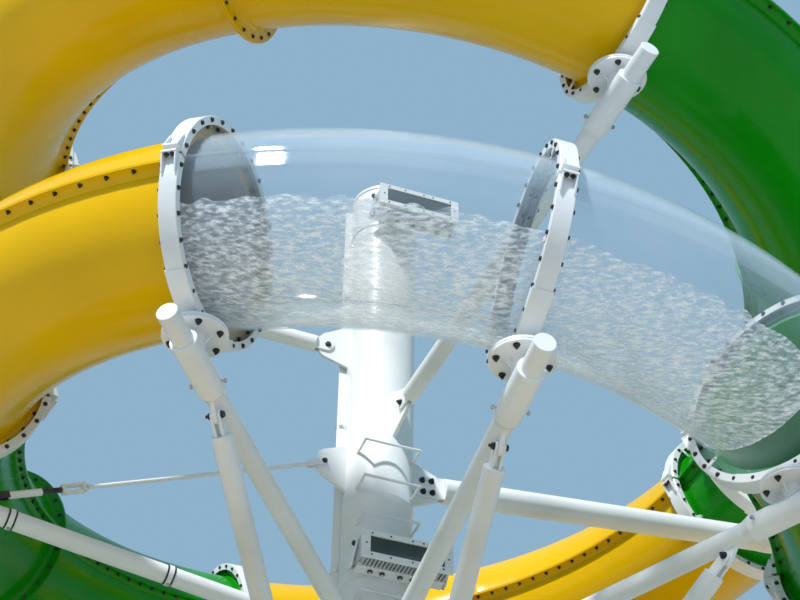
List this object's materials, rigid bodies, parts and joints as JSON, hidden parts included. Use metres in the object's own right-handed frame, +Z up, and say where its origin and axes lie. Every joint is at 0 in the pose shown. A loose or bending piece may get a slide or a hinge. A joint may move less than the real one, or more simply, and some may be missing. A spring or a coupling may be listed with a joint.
{
  "type": "water slide tower",
  "caption": "Steel mast that carries a closed tube slide coiled round it, yellow and green with a clear stretch, on braced arms with clamp rings.",
  "frame": {"origin": "under the middle of the mast, on the underside of its base plate, at ground level", "axes": "+Z up along the mast; -Y is the side the picture was taken from, where the clear bays are"},
  "size_m": [7.1251, 7.0892, 12.1476],
  "materials": {
    "white_steel": "semi-gloss paint",
    "yellow_shell": "gloss gelcoat",
    "green_shell": "gloss gelcoat",
    "clear_shell": "clear acrylic",
    "lamp_body": "satin paint"
  },
  "bodies": {
    "root": {"base_plate": "white_steel", "mast": "white_steel", "cable_trunk": "white_steel", "stay_rod": "white_steel", "support_01": "white_steel", "support_02": "white_steel", "support_03": "white_steel", "support_04": "white_steel", "support_05": "white_steel", "support_06": "white_steel", "support_07": "white_steel", "support_08": "white_steel", "support_09": "white_steel", "support_10": "white_steel", "support_11": "white_steel", "support_12": "white_steel", "support_13": "white_steel", "support_14": "white_steel", "support_15": "white_steel", "joint_ring": "white_steel", "upper_bay_01": "yellow_shell", "upper_bay_02": "yellow_shell", "upper_bay_03": "yellow_shell", "upper_bay_04": "green_shell", "upper_bay_05": "green_shell", "upper_bay_06": "green_shell", "upper_bay_07": "yellow_shell", "upper_bay_08": "yellow_shell", "upper_bay_09": "green_shell", "upper_bay_10": "green_shell", "upper_bay_11": "yellow_shell", "clear_bay_01": "clear_shell", "clear_bay_02": "clear_shell", "green_bay": "green_shell", "lower_bay_01": "yellow_shell", "lower_bay_02": "yellow_shell", "lower_bay_03": "green_shell", "lower_bay_04": "green_shell", "lower_bay_05": "yellow_shell", "lower_bay_06": "yellow_shell", "lower_bay_07": "green_shell", "lower_bay_08": "green_shell", "lower_bay_09": "yellow_shell", "lower_bay_10": "yellow_shell", "lower_bay_11": "green_shell", "lower_bay_12": "green_shell", "lower_lamp": "lamp_body", "lower_lamp_bracket": "white_steel", "top_lamp": "lamp_body", "top_lamp_bracket": "white_steel"}
  },
  "joints": []
}
